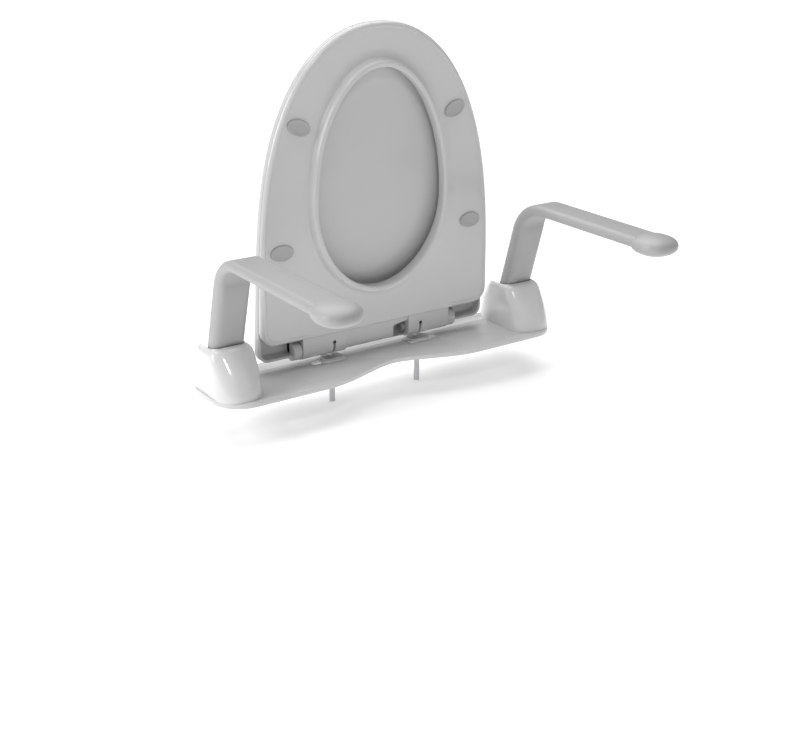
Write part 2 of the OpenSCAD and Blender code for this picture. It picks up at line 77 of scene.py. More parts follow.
# %% Read the hinge line and the arm pivot
joints = {j["name"]: j for j in frame["record"]["behaviour"]["joints"]}
hinge_y, hinge_z = joints["seat_hinge"]["pos_m"][1:]
pivot_y, pivot_z = joints["arm_right_fold"]["pos_m"][1:]
arm_x = joints["arm_right_fold"]["pos_m"][0]
plate_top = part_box("mounting_plate")[1][2]
SIDES = {"left": -1, "right": 1}
print("hinge line at y %.1f, z %.1f mm" % (hinge_y / MM, hinge_z / MM))
print("arm pivot at x %.1f, y %.1f, z %.1f mm" % (arm_x / MM, pivot_y / MM, pivot_z / MM))

# %% [markdown]
# ## The camera
# A product view from the front and a little above, with the near armrest on the left. It is a
# fairly long lens, so upright edges stay nearly parallel.

# %% Place the camera
CAMERA_PLACE = (-0.9099, -1.4015, 0.6408)
CAMERA_TURN = -33.916
CAMERA_DROP = 21.547
SENSOR_WIDTH, LENS = 36, 59.2
camera = bpy.data.objects.new("camera", bpy.data.cameras.new("camera"))
bpy.context.scene.collection.objects.link(camera)
camera.data.sensor_width = SENSOR_WIDTH
camera.data.lens = LENS
camera.location = CAMERA_PLACE
camera.rotation_euler = (math.radians(90 - CAMERA_DROP), 0, math.radians(CAMERA_TURN))
bpy.context.scene.camera = camera
bpy.context.scene.view_settings.view_transform = "Standard"
print("camera looks down by %.1f degrees" % CAMERA_DROP)

# %% [markdown]
# ## Materials
# Nearly everything here is pale plastic or coated steel, so the finishes differ in small ways:
# how sharp a highlight is, how fine the skin's grain is, and how the sheen drifts over a moulding.
# One helper lays the three layers that every finish shares. Broad clouds drift the colour and the
# sheen, a fine grain roughens the skin, and a slow wave bends reflections as a real moulding does.

# %% Helpers for node links
NOISE_LOW, NOISE_HIGH = 0.15, 0.85


def shader(name):
    material = bpy.data.materials.new(name)
    material.use_nodes = True
    nodes = material.node_tree.nodes
    return material, nodes, material.node_tree.links, nodes["Principled BSDF"]


def noise(nodes, links, where, scale, detail=3.0, rough=0.5):
    cloud = nodes.new("ShaderNodeTexNoise")
    cloud.inputs["Scale"].default_value = scale
    cloud.inputs["Detail"].default_value = detail
    cloud.inputs["Roughness"].default_value = rough
    links.new(where, cloud.inputs["Vector"])
    return cloud.outputs["Fac"]


def spread(nodes, links, value, low, high):
    stretch = nodes.new("ShaderNodeMapRange")
    stretch.inputs["From Min"].default_value = NOISE_LOW
    stretch.inputs["From Max"].default_value = NOISE_HIGH
    stretch.inputs["To Min"].default_value = low
    stretch.inputs["To Max"].default_value = high
    links.new(value, stretch.inputs["Value"])
    return stretch.outputs["Result"]


def tones(nodes, links, value, dark, light):
    ramp = nodes.new("ShaderNodeValToRGB")
    ramp.color_ramp.elements[0].position = NOISE_LOW
    ramp.color_ramp.elements[0].color = (*dark, 1)
    ramp.color_ramp.elements[1].position = NOISE_HIGH
    ramp.color_ramp.elements[1].color = (*light, 1)
    links.new(value, ramp.inputs["Fac"])
    return ramp.outputs["Color"]


def dents(nodes, links, height, strength, depth, under=None):
    bump = nodes.new("ShaderNodeBump")
    bump.inputs["Strength"].default_value = strength
    bump.inputs["Distance"].default_value = depth
    links.new(height, bump.inputs["Height"])
    if under is not None:
        links.new(under, bump.inputs["Normal"])
    return bump.outputs["Normal"]


print("node helpers ready")

# %% [markdown]
# ## The shared skin
# Colours are kept a touch apart, two or three parts in a hundred, so that a wide face isn't one
# dead tone. The grain is set in bumps per metre: 900 gives a spark-eroded mould's fine texture,
# 420 the orange-peel of a powder coat.

# %% A skin of drifting tone, fine grain and slow waves
CLOUDS, SHEEN_CLOUDS = 9.0, 34.0
WAVE_STRENGTH, GRAIN_STRENGTH = 0.5, 0.35
COAT_ROUGHNESS = 0.06


def skin_finish(name, dark, light, gloss, grain, grain_depth, wave, wave_depth, coat=0.0):
    material, nodes, links, surface = shader(name)
    where = nodes.new("ShaderNodeTexCoord").outputs["Object"]
    drift = noise(nodes, links, where, CLOUDS, 2.0, 0.4)
    links.new(tones(nodes, links, drift, dark, light), surface.inputs["Base Color"])
    sheen_drift = noise(nodes, links, where, SHEEN_CLOUDS, 2.0, 0.45)
    links.new(spread(nodes, links, sheen_drift, *gloss), surface.inputs["Roughness"])
    slow = dents(nodes, links, noise(nodes, links, where, wave, 1.0), WAVE_STRENGTH, wave_depth)
    bumps = noise(nodes, links, where, grain, 2.0, 0.6)
    fine = dents(nodes, links, bumps, GRAIN_STRENGTH, grain_depth, slow)
    links.new(fine, surface.inputs["Normal"])
    surface.inputs["Coat Weight"].default_value = coat
    surface.inputs["Coat Roughness"].default_value = COAT_ROUGHNESS
    return material


def grey(level, warm=0.0):
    return (level, level * (1 - warm), level * (1 - 2 * warm))


powder_white = skin_finish("powder_white", grey(0.63, 0.002), grey(0.66, 0.002), (0.22, 0.27),
                           420, 0.00003, 30, 0.00008, 0.25)
dome_white = skin_finish("dome_white", grey(0.70, 0.002), grey(0.73, 0.002), (0.10, 0.16),
                         900, 0.00002, 16, 0.00012, 0.4)
seat_white = skin_finish("seat_white", grey(0.585, 0.003), grey(0.61, 0.003), (0.21, 0.26),
                         800, 0.00002, 14, 0.00012, 0.25)
lid_white = skin_finish("lid_white", grey(0.555, 0.003), grey(0.58, 0.003), (0.21, 0.26),
                        800, 0.00002, 14, 0.00012, 0.25)
washer_white = skin_finish("washer_white", grey(0.72, 0.004), grey(0.76, 0.004), (0.30, 0.42),
                           1100, 0.00003, 80, 0.0002)
satin_grey = skin_finish("satin_grey", grey(0.385, 0.002), grey(0.41, 0.002), (0.36, 0.46),
                         1300, 0.00006, 40, 0.0002)
knob_grey = skin_finish("knob_grey", grey(0.40, 0.002), grey(0.43, 0.002), (0.34, 0.44),
                        1300, 0.00006, 40, 0.0002)
acetal = skin_finish("acetal", (0.74, 0.71, 0.64), (0.79, 0.77, 0.70), (0.35, 0.5),
                     700, 0.00003, 90, 0.0001)
button_grey = skin_finish("button_grey", grey(0.30), grey(0.34), (0.40, 0.50),
                          1500, 0.00004, 120, 0.0001)
buffer_rubber = skin_finish("buffer_rubber", grey(0.40, 0.004), grey(0.44, 0.004), (0.40, 0.50),
                            1600, 0.00008, 150, 0.0001)
black_rubber = skin_finish("black_rubber", grey(0.022), grey(0.035), (0.6, 0.8),
                           1200, 0.00012, 90, 0.0002)
print("plastic, rubber and coated finishes ready")

# %% [markdown]
# ## Bright metal
# Pins, screws and the hinge posts are plated or brushed. Brushing is a noise stretched along the
# length of the bar, so it catches light as fine lines. Plating has soft cloudy patches instead.

# %% Brushed and plated steel
def metal_finish(name, dark, light, gloss, stretch, depth):
    material, nodes, links, surface = shader(name)
    surface.inputs["Metallic"].default_value = 1.0
    place = nodes.new("ShaderNodeMapping")
    place.inputs["Scale"].default_value = stretch
    links.new(nodes.new("ShaderNodeTexCoord").outputs["Object"], place.inputs["Vector"])
    lines = noise(nodes, links, place.outputs["Vector"], 1.0, 4.0, 0.65)
    links.new(tones(nodes, links, lines, dark, light), surface.inputs["Base Color"])
    links.new(spread(nodes, links, lines, *gloss), surface.inputs["Roughness"])
    links.new(dents(nodes, links, lines, 0.4, depth), surface.inputs["Normal"])
    return material


brushed_steel = metal_finish("brushed_steel", grey(0.72), grey(0.82), (0.34, 0.46), (60, 900, 900), 0.00003)
plated_steel = metal_finish("plated_steel", (0.50, 0.51, 0.53), (0.62, 0.63, 0.64), (0.28, 0.46),
                            (260, 260, 260), 0.00004)
spring_steel = metal_finish("spring_steel", grey(0.45), grey(0.6), (0.2, 0.3), (500, 120, 120), 0.00002)
FINISH = {"plate": powder_white, "dome": dome_white, "seat": seat_white, "lid": lid_white,
          "sleeve": satin_grey, "knob": knob_grey, "washer": washer_white, "post": brushed_steel,
          "steel": plated_steel, "spring": spring_steel, "bush": acetal, "damper": acetal,
          "button": button_grey, "buffer": buffer_rubber, "pad": black_rubber}
print("finishes:", len(FINISH))

# %% [markdown]
# ## Every measured part gets its finish first
# The record names a material slot for each node, so a loop can hand them all out. Parts that stay
# as they are, such as the arms' steel cores and the button's spring, are finished by this alone.

# %% Hand the finishes out
slot_of = {part["node"]: part["material_slot"] for part in frame["record"]["subparts"]}
body_of = {node: body for body, nodes in frame["record"]["behaviour"]["bodies"].items() for node in nodes}


def dress(piece, finish):
    piece.data.materials.clear()
    piece.data.materials.append(finish)


for node, piece in frame["nodes"].items():
    for entry in piece.material_slots:
        entry.material = FINISH[slot_of[node]]
print("finished", len(slot_of), "measured parts")

# %% [markdown]
# ## Turning a bmesh into a piece of the object
# Every new piece is parented to the body that it moves with, takes the finish of its slot and hides
# the measured node that it stands for. Its normals are made to face outwards, and its faces are
# smooth except across sharp edges. A shape is often a row of loops, bridged one to the next. Where
# the loops lie flat on each other, the rows are pulled apart first and pushed back afterwards,
# since flat, nested loops would bridge inside out.

# %% Helpers that make a piece
SHARP = math.radians(38)
SAME_PLACE = 1e-6


def piece_from(bm, name, body, slot, replaces):
    bmesh.ops.remove_doubles(bm, verts=bm.verts, dist=SAME_PLACE)
    bmesh.ops.recalc_face_normals(bm, faces=bm.faces)
    for face in bm.faces:
        face.smooth = True
    for edge in bm.edges:
        edge.smooth = not edge.is_manifold or edge.calc_face_angle(0) < SHARP
    mesh = bpy.data.meshes.new(name)
    bm.to_mesh(mesh)
    bm.free()
    piece = bpy.data.objects.new(name, mesh)
    bpy.context.scene.collection.objects.link(piece)
    dress(piece, FINISH[slot])
    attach(piece, body)
    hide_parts(*replaces)
    return piece


def add_loop(bm, points):
    corners = [bm.verts.new(p) for p in points]
    return [bm.edges.new((a, b)) for a, b in zip(corners, corners[1:] + corners[:1])]


def bridge(bm, loops, ring=False, pull=(0, 0, 0)):
    rows = []
    for k, points in enumerate(loops):
        rows.append(add_loop(bm, [Vector(p) + k * Vector(pull) for p in points]))
    for a, b in zip(rows, rows[1:]):
        bmesh.ops.bridge_loops(bm, edges=a + b)
    if ring:
        bmesh.ops.bridge_loops(bm, edges=rows[-1] + rows[0])
    else:
        for end in (rows[0], rows[-1]):
            bmesh.ops.contextual_create(bm, geom=end)
    for k, row in enumerate(rows):
        bmesh.ops.translate(bm, verts=list({v for e in row for v in e.verts}), vec=-k * Vector(pull))


print("piece helpers ready")

# %% [markdown]
# ## Softening the machined and moulded small parts
# A real edge is never perfectly sharp: it catches a thin line of light. Each small part is copied
# from the frame, its triangles are joined back into flat faces, and every sharp edge gets a small
# round. This keeps its bores and slots exactly where the hinge needs them.

# %% Copy a measured part with rounded edges
FLAT = math.radians(0.6)
CREASE = math.radians(28)
CAD_SAME_PLACE = 2e-6


def copied(node):
    bm = bmesh.new()
    bm.from_mesh(frame["nodes"][node].data)
    bmesh.ops.remove_doubles(bm, verts=bm.verts, dist=CAD_SAME_PLACE)
    bmesh.ops.dissolve_limit(bm, angle_limit=FLAT, verts=bm.verts, edges=bm.edges)
    return bm


def round_creases(bm, radius, steps=2):
    creases = [e for e in bm.edges if e.is_manifold and e.calc_face_angle(0) > CREASE]
    bmesh.ops.bevel(bm, geom=creases, offset=radius, offset_type="OFFSET", segments=steps,
                    profile=0.5, affect="EDGES", clamp_overlap=True, material=-1)


def softened(node, radius):
    bm = copied(node)
    round_creases(bm, radius)
    return piece_from(bm, node + "_soft", body_of[node], slot_of[node], [node])


EDGES = {"mounting_plate": 0.9, "slot_washers": 0.45, "hinge_post_left": 0.35, "hinge_post_right": 0.35,
         "pivot_bracket_left": 0.5, "pivot_bracket_right": 0.5,
         "pivot_pin_left": 0.4, "pivot_pin_right": 0.4, "bowl_bolt_left": 0.6, "bowl_bolt_right": 0.6,
         "dome_screws": 0.3, "bracket_screws": 0.3, "sleeve_screw_left": 0.25, "sleeve_screw_right": 0.25,
         "pivot_bushes_left": 0.3, "pivot_bushes_right": 0.3, "damper_left": 0.5, "damper_right": 0.5}
for node, radius in EDGES.items():
    softened(node, radius * MM)
print("softened", len(EDGES), "parts")

# %% [markdown]
# ## Cutting
# Slots, screw holes and finger room are cut the way a workshop would: a cutter the shape of the
# missing part is taken away from the piece. A Boolean does it, and its result becomes the mesh.
# Cutters are blocks, and round bars or cones along one of the three axes.

# %% Cutting one mesh with another
def loose(bm, name):
    bmesh.ops.recalc_face_normals(bm, faces=bm.faces)
    mesh = bpy.data.meshes.new(name)
    bm.to_mesh(mesh)
    bm.free()
    thing = bpy.data.objects.new(name, mesh)
    bpy.context.scene.collection.objects.link(thing)
    return thing


def block(low, high):
    bm = bmesh.new()
    bmesh.ops.create_cube(bm, size=1)
    middle = (Vector(low) + Vector(high)) / 2
    size = Vector(high) - Vector(low)
    bmesh.ops.scale(bm, vec=size, verts=bm.verts)
    bmesh.ops.translate(bm, vec=middle, verts=bm.verts)
    return bm


def bar(place, axis, radius, length, segments, end_radius=None):
    bm = bmesh.new()
    turn = Matrix.Rotation(math.pi / 2, 4, {"X": "Y", "Y": "X"}[axis]) if axis != "Z" else Matrix()
    bmesh.ops.create_cone(bm, cap_ends=True, segments=segments, radius1=radius * MM,
                          radius2=(end_radius or radius) * MM, depth=length * MM,
                          matrix=Matrix.Translation(place) @ turn)
    return bm


def add_shape(bm, other):
    lump = bpy.data.meshes.new("lump")
    other.to_mesh(lump)
    other.free()
    bm.from_mesh(lump)
    bpy.data.meshes.remove(lump)


def carved(bm, cutters):
    body = loose(bm, "carving")
    tools = [loose(cutter, "cutter") for cutter in cutters]
    for tool in tools:
        cut = body.modifiers.new("cut", "BOOLEAN")
        cut.object = tool
        cut.operation = "DIFFERENCE"
        cut.solver = "EXACT"
    result = bmesh.new()
    result.from_object(body, bpy.context.evaluated_depsgraph_get())
    for thing in [body] + tools:
        bpy.data.objects.remove(thing)
    return result


print("carving helpers ready")

# %% [markdown]
# ## The seat's outline
# Seen from the front, the ring is an egg: round lower corners, straight flanks, then sides that
# close to a blunt tip. A superellipse gives that smooth squeeze from two powers. Points are laid
# evenly along it, so that neighbouring loops match point by point.

# %% Egg outline, laid evenly
SEAT_HALF, SEAT_TIP, SEAT_BOTTOM, SEAT_CORNER = 180, 418, 19, 20
SEAT_WIDE_AT = 59
FLANK_POWER, TIP_POWER = 2 / 2.15, 2 / 2.7
AROUND, CORNER_STEPS, FLANK_STEPS = 360, 18, 90
LEAST_CORNER = 4


def evenly(points, count):
    closed = points + points[:1]
    steps = [math.dist(a, b) for a, b in zip(closed, closed[1:])]
    gap = sum(steps) / count
    laid, walked, i = [], 0.0, 0
    for k in range(count):
        while walked + steps[i] < k * gap:
            walked += steps[i]
            i += 1
        part = (k * gap - walked) / steps[i]
        laid.append(tuple(p + part * (q - p) for p, q in zip(closed[i], closed[i + 1])))
    return laid


def egg(inset, bottom=SEAT_BOTTOM, corner=SEAT_CORNER):
    half, tip, low = SEAT_HALF - inset, SEAT_TIP - inset, bottom + inset
    r = max(LEAST_CORNER, corner - inset)
    right = [(0, low)]
    for i in range(CORNER_STEPS + 1):
        a = math.radians(-90 + 90 * i / CORNER_STEPS)
        right.append((half - r + r * math.cos(a), low + r + r * math.sin(a)))
    for i in range(FLANK_STEPS + 1):
        a = math.radians(90 * i / FLANK_STEPS)
        right.append((half * max(0, math.cos(a)) ** FLANK_POWER,
                      SEAT_WIDE_AT + (tip - SEAT_WIDE_AT) * math.sin(a) ** TIP_POWER))
    left = [(-x, h) for x, h in reversed(right[1:-1])]
    return evenly(right + left, AROUND)


print("egg outline is %.0f mm round" % sum(math.dist(a, b) for a, b in zip(egg(0), egg(0)[1:])))

# %% [markdown]
# The opening is a second egg: one half ellipse towards the tip, a shorter one towards the hinge.
# Each of its points lies on the spoke from its middle to a point of the outer outline, so the two
# outlines can be bridged without a twist.

# %% The opening's outline, on the same spokes
HOLE_HALF, HOLE_MID, HOLE_FRONT, HOLE_REAR = 97.7, 194, 169, 119


def opening(grow):
    points = []
    for x, h in egg(0):
        a = math.atan2(h - HOLE_MID, x)
        long = (HOLE_FRONT if a > 0 else HOLE_REAR) + grow
        reach = 1 / math.hypot(math.cos(a) / (HOLE_HALF + grow), math.sin(a) / long)
        points.append((reach * math.cos(a), HOLE_MID + reach * math.sin(a)))
    return points


def between(inner, outer, part):
    return [tuple(p + part * (q - p) for p, q in zip(a, b)) for a, b in zip(inner, outer)]


def stood(outline, depth):
    return [Vector((x, depth(h), hinge_z / MM + h)) * MM for x, h in outline]


def along(knots, h):
    for (h0, y0), (h1, y1) in zip(knots, knots[1:]):
        if h <= h1:
            return y0 + (y1 - y0) * max(0, (h - h0) / (h1 - h0))
    return knots[-1][1]


print("opening is %.0f mm wide" % (2 * HOLE_HALF))

# %% [markdown]
# ## The seat ring
# The ring is one moulding. Its underside faces us: a flat field with a raised rim lip outside and
# a rolled bead round the opening, which keeps splashes in when the ring is down. A section of the
# ring is a list of loops, each at an offset from one outline and at a depth. Bridging them in turn
# and joining the last to the first closes the ring.

# %% Depths across the ring
SEAT_BACK = [(0, -2.5), (39, -2.5), (150, -9.5)]
FIELD, LIP, BEAD = -13.2, -15.0, -23.2
BEAD_FOOT, BEAD_FALL, BEAD_STEPS = (5.8, -23.1), (6.0, 9.9), 8
RIM_WIDE = 8
APART = (0, 0.5, 0)


def seat_back(h):
    return along(SEAT_BACK, h)


def at(depth):
    return lambda h: depth


def behind_back(more):
    return lambda h: seat_back(h) - more


def eased(part):
    return 3 * part ** 2 - 2 * part ** 3


HOLE_SIDE = [(1.2, behind_back(0)), (0.35, behind_back(0.35)), (0, behind_back(1.2)), (0, at(-21.4)),
             (0.3, at(-22.3)), (1.0, at(-22.9)), (2.2, at(BEAD)), (4.4, at(BEAD)),
             (BEAD_FOOT[0], at(BEAD_FOOT[1]))]
BEAD_SLOPE = [(BEAD_FOOT[0] + BEAD_FALL[0] * i / BEAD_STEPS,
               BEAD_FOOT[1] + BEAD_FALL[1] * eased(i / BEAD_STEPS)) for i in range(1, BEAD_STEPS + 1)]
RIM_SIDE = [(RIM_WIDE, at(FIELD)), (7.1, at(-13.25)), (6.7, at(-13.7)), (6.3, at(-14.5)), (5.8, at(LIP)),
            (5.0, at(LIP)), (3.9, at(-14.8)), (2.8, at(-14.3)), (1.8, at(-13.5)), (0.9, at(-12.5)),
            (0.3, at(-11.4)), (0, at(-10.4)), (0, behind_back(0.8)), (0.25, behind_back(0.2)),
            (1.0, behind_back(0)), (16, behind_back(0))]
print("loops across the ring:", len(HOLE_SIDE) + len(BEAD_SLOPE) + len(RIM_SIDE) + 2)

# %% [markdown]
# The hinge knuckles, their slots and the finger pocket are taken from the measured ring: it is cut
# off level just under the ring's lower edge, its edges are rounded, and the cut end is pushed up
# into the moulding. A cone scoops out finger room at the button, and a small round hole makes the
# head of each knuckle's keyhole.

# %% Build the ring with its knuckles
LIP_ENDS, LIP_FADE, LIP_FADE_TOP = 116, 8, 50
CUT_BELOW, PUSHED_UP, KNUCKLE_ROUND = 0.1, 3, 0.9
POST_X, KEYHOLE_Y, KEYHOLE_UP, KEYHOLE_R, KEYHOLE_DEEP = 70, -8, 4.6, 2.6, 10
SCOOP_MIDDLE, SCOOP_LONG, SCOOP_Y, SCOOP_SMALL, SCOOP_WIDE = 37.6, 24, -6, 9, 13


def without_lip(points):
    """Between the outer ends of the knuckles the lip dies into the field."""
    for p in points:
        low = p.z < hinge_z + LIP_FADE_TOP * MM
        fade = min(1, max(0, (abs(p.x) / MM - LIP_ENDS) / LIP_FADE)) if low else 1
        p.y = max(p.y, FIELD * MM) * (1 - fade) + p.y * fade
    return points


bm = copied("seat_ring")
cut_z = hinge_z + (SEAT_BOTTOM - CUT_BELOW) * MM
everything = bm.verts[:] + bm.edges[:] + bm.faces[:]
bmesh.ops.bisect_plane(bm, geom=everything, plane_co=(0, 0, cut_z), plane_no=(0, 0, 1), clear_outer=True)
round_creases(bm, KNUCKLE_ROUND * MM, 3)
cut_verts = [v for v in bm.verts if abs(v.co.z - cut_z) < 0.01 * MM]
bmesh.ops.translate(bm, verts=cut_verts, vec=(0, 0, PUSHED_UP * MM))
bmesh.ops.holes_fill(bm, edges=[e for e in bm.edges if e.is_boundary])
holes = [bar((SCOOP_MIDDLE * MM, SCOOP_Y * MM, hinge_z), "X", SCOOP_SMALL, SCOOP_LONG, 72, SCOOP_WIDE)]
for side in SIDES.values():
    place = (side * POST_X * MM, KEYHOLE_Y * MM, hinge_z + KEYHOLE_UP * MM)
    holes.append(bar(place, "Y", KEYHOLE_R, KEYHOLE_DEEP, 32))
bm = carved(bm, holes)
loops = [stood(opening(grow), depth) for grow, depth in HOLE_SIDE]
loops += [stood(opening(grow), at(depth)) for grow, depth in BEAD_SLOPE]
field_in = opening(BEAD_FOOT[0] + BEAD_FALL[0])
loops += [stood(between(field_in, egg(RIM_WIDE), part), at(FIELD)) for part in (0.33, 0.67)]
loops += [without_lip(stood(egg(inset), depth)) for inset, depth in RIM_SIDE]
bridge(bm, loops, ring=True, pull=APART)
seat_ring = piece_from(bm, "seat_ring_moulding", "seat", "seat", ["seat_ring"])
print("seat ring faces:", len(seat_ring.data.polygons))

# %% [markdown]
# ## Buffers
# Four oval rubber pads keep the ring off the bowl. Each has a rounded rim and a shallow dish, and
# is pressed into the field of the ring. A pad is drawn as an oval, once for each step of its rise.

# %% Seat buffers
BUFFERS = [(119, 298, 20), (148, 142, 0)]
BUFFER_HALF, BUFFER_POINTS = (16.4, 10.4), 48
LID_BUFFER_ROUND = 0.6
PAD_RISE = [(1.0, 0.6), (1.0, -1.6), (0.985, -2.2), (0.95, -2.7), (0.9, -2.88), (0.85, -2.8), (0.8, -2.5),
            (0.7, -2.2), (0.4, -2.1)]


def pad_outline(middle, turn, size):
    points = []
    for i in range(BUFFER_POINTS):
        a = math.radians(360 * i / BUFFER_POINTS)
        x = size * BUFFER_HALF[0] * math.cos(a)
        h = size * BUFFER_HALF[1] * math.sin(a)
        points.append((middle[0] + x * math.cos(turn) - h * math.sin(turn),
                       middle[1] + x * math.sin(turn) + h * math.cos(turn)))
    return points


bm = bmesh.new()
for side in SIDES.values():
    for x, h, turn in BUFFERS:
        outlines = [(pad_outline((side * x, h), math.radians(side * turn), size), rise)
                    for size, rise in PAD_RISE]
        bridge(bm, [stood(outline, at(FIELD + rise)) for outline, rise in outlines])
piece_from(bm, "seat_buffer_pads", "seat", "buffer", ["seat_buffers"])
softened("lid_buffers", LID_BUFFER_ROUND * MM)
print("seat buffers:", len(SIDES) * len(BUFFERS))

# %% [markdown]
# ## Release button
# Pressing this button frees the seat from its posts for cleaning. It is a turned disc with a
# finger dish and a fine ring. Its half section is a line, spun once round the hinge line. The back
# is left plain, so the end of the spring is buried in it.

# %% Spin the button
BUTTON_SECTION = [(44.6, 0), (44.6, 2.0), (44.1, 2.7), (43.6, 3.4), (43.6, 4.0), (44.1, 4.3), (44.1, 4.7),
                  (43.6, 5.0), (43.6, 5.9), (43.8, 6.3), (44.3, 6.5), (54, 6.5), (54, 0)]
bm = bmesh.new()
corners = [bm.verts.new(Vector((x * MM, hinge_y, hinge_z + r * MM))) for x, r in BUTTON_SECTION]
edges = [bm.edges.new(pair) for pair in zip(corners, corners[1:])]
bmesh.ops.spin(bm, geom=corners + edges, cent=(0, hinge_y, hinge_z), axis=(1, 0, 0), angle=math.tau,
               steps=64, use_merge=True)
piece_from(bm, "release_button_disc", body_of["release_button"], "button", ["release_button"])
print("button reaches x %.1f mm" % min(x for x, r in BUTTON_SECTION))

# %% [markdown]
# ## The lid
# The lid is a shallow dish that follows the ring's outline and reaches lower than it at the hinge.
# It is open towards the ring, so its inside shows through the opening. The loops start in the
# middle of the inside, climb the wall, turn over the front edge, run down the outside and end in
# the middle of the back.

# %% Loops of the lid
LID_BACK = [(-8, 16), (20, 15), (38.6, 13.3), (81, 7.5), (161, 3), (240, 2), (418, 1.4)]
LID_BOTTOM, LID_CORNER, LID_WALL, LID_GAP, LID_INSIDE = -6.3, 14, 3.5, 0.5, 9.5
LID_CENTRE = [(0, HOLE_MID)] * AROUND


def lid_back(less):
    return lambda h: along(LID_BACK, h) - less


def lid_front(more):
    return lambda h: seat_back(h) + LID_GAP + more


def lid_edge(inset):
    return egg(inset, LID_BOTTOM, LID_CORNER)


inside = lid_edge(LID_INSIDE)
loops = [stood(between(LID_CENTRE, inside, part), lid_back(LID_WALL)) for part in (0.04, 0.3, 0.6, 0.85)]
loops += [stood(lid_edge(inset), lid_back(LID_WALL + more))
          for inset, more in ((LID_INSIDE, 0), (7, 0.35), (5.2, 1.2), (4.1, 2.4), (3.6, 4.0))]
loops += [stood(lid_edge(inset), lid_front(more))
          for inset, more in ((3.4, 0.6), (3.0, 0.15), (2.4, 0), (1.0, 0), (0.35, 0.25), (0, 1.0))]
loops += [stood(lid_edge(inset), lid_back(less))
          for inset, less in ((0, 5.5), (0.2, 4.0), (0.8, 2.6), (1.7, 1.5), (3.0, 0.7), (4.6, 0.2), (7, 0))]
loops += [stood(between(inside, LID_CENTRE, part), lid_back(0)) for part in (0.1, 0.4, 0.7, 0.96)]
print("loops over the lid:", len(loops))

# %% [markdown]
# Between the two outer knuckles the lid stops short, to leave room for the ring's hinge. A plain
# block is cut away there. Each knuckle is a rounded drum with a web that joins it to the shell. The
# drums are left solid, so the ends of the hinge pins are buried in them.

# %% The lid with its knuckles
KNUCKLE_IN, KNUCKLE_OUT, KNUCKLE_R = 118.6, 131, 13
DRUM_ROUND, WEB_ROUND, WEB_BACK = 1.0, 0.8, 12.8
LID_CUT, CUT_REACH = 15, 100
bm = bmesh.new()
bridge(bm, loops, pull=APART)
room = block((-KNUCKLE_IN * MM, -CUT_REACH * MM, -CUT_REACH * MM),
             (KNUCKLE_IN * MM, CUT_REACH * MM, hinge_z + LID_CUT * MM))
bm = carved(bm, [room])
for side in SIDES.values():
    middle = (side * (KNUCKLE_IN + KNUCKLE_OUT) / 2 * MM, hinge_y, hinge_z)
    drum = bar(middle, "X", KNUCKLE_R, KNUCKLE_OUT - KNUCKLE_IN, 72)
    round_creases(drum, DRUM_ROUND * MM, 3)
    add_shape(bm, drum)
    xs = sorted((side * KNUCKLE_IN * MM, side * KNUCKLE_OUT * MM))
    web = block((xs[0], hinge_y, hinge_z + LID_BOTTOM * MM), (xs[1], WEB_BACK * MM, hinge_z + KNUCKLE_R * MM))
    round_creases(web, WEB_ROUND * MM)
    add_shape(bm, web)
lid = piece_from(bm, "lid_shell", "lid", "lid", ["lid"])
print("lid faces:", len(lid.data.polygons))

# %% [markdown]
# ## The arm's path
# From the pin the arm rises with a slight lean to the front, bends through a wide curve and runs
# level to its knob. Every section along it is a rounded oblong, which gets thinner round the bend.

# %% Sections along the arm
ARM_LEAN = math.radians(16.5)
ARM_TOP, BEND_R, BAR_END, BEND_Y = 186.9, 45, -270, -49.6
ARM_W, UPRIGHT_T, BAR_T, UPRIGHT_R, BAR_R = 45.4, 24.3, 14.6, 10, 7
SLEEVE_START = 21
UPRIGHT_STEPS, BEND_STEPS, BAR_STEPS, ARC_STEPS = 9, 24, 12, 8
up_dir = Vector((-math.sin(ARM_LEAN), math.cos(ARM_LEAN)))
out_dir = Vector((math.cos(ARM_LEAN), math.sin(ARM_LEAN)))
pivot = Vector((pivot_y, pivot_z)) / MM
bend_middle = Vector((BEND_Y - BEND_R * math.tan((math.pi / 2 - ARM_LEAN) / 2), ARM_TOP - BEND_R))


def section(thick, wide, r):
    points = []
    for u, v, start in ((1, 1, 0), (-1, 1, 90), (-1, -1, 180), (1, -1, 270)):
        for i in range(ARC_STEPS + 1):
            a = math.radians(start + 90 * i / ARC_STEPS)
            points.append((u * (thick / 2 - r) + r * math.cos(a), v * (wide / 2 - r) + r * math.sin(a)))
    return points


def carried(side, points, place, out):
    return [Vector((side * arm_x / MM + v, place[0] + u * out[0], place[1] + u * out[1])) * MM
            for u, v in points]


def arm_loops(side):
    loops = []
    straight = (bend_middle + BEND_R * out_dir - pivot).dot(up_dir)
    for i in range(UPRIGHT_STEPS):
        place = pivot + (SLEEVE_START + (straight - SLEEVE_START) * i / UPRIGHT_STEPS) * up_dir
        loops.append(carried(side, section(UPRIGHT_T, ARM_W, UPRIGHT_R), place, out_dir))
    for i in range(BEND_STEPS + 1):
        a = ARM_LEAN + (math.pi / 2 - ARM_LEAN) * i / BEND_STEPS
        thinner = (1 - i / BEND_STEPS) ** 3
        out = (math.cos(a), math.sin(a))
        shape = section(BAR_T + (UPRIGHT_T - BAR_T) * thinner, ARM_W, BAR_R + (UPRIGHT_R - BAR_R) * thinner)
        loops.append(carried(side, shape, bend_middle + BEND_R * Vector(out), out))
    for i in range(1, BAR_STEPS + 1):
        y = bend_middle[0] + (BAR_END - bend_middle[0]) * i / BAR_STEPS
        loops.append(carried(side, section(BAR_T, ARM_W, BAR_R), (y, ARM_TOP), (0, 1)))
    return loops


print("sections along an arm:", len(arm_loops(1)))

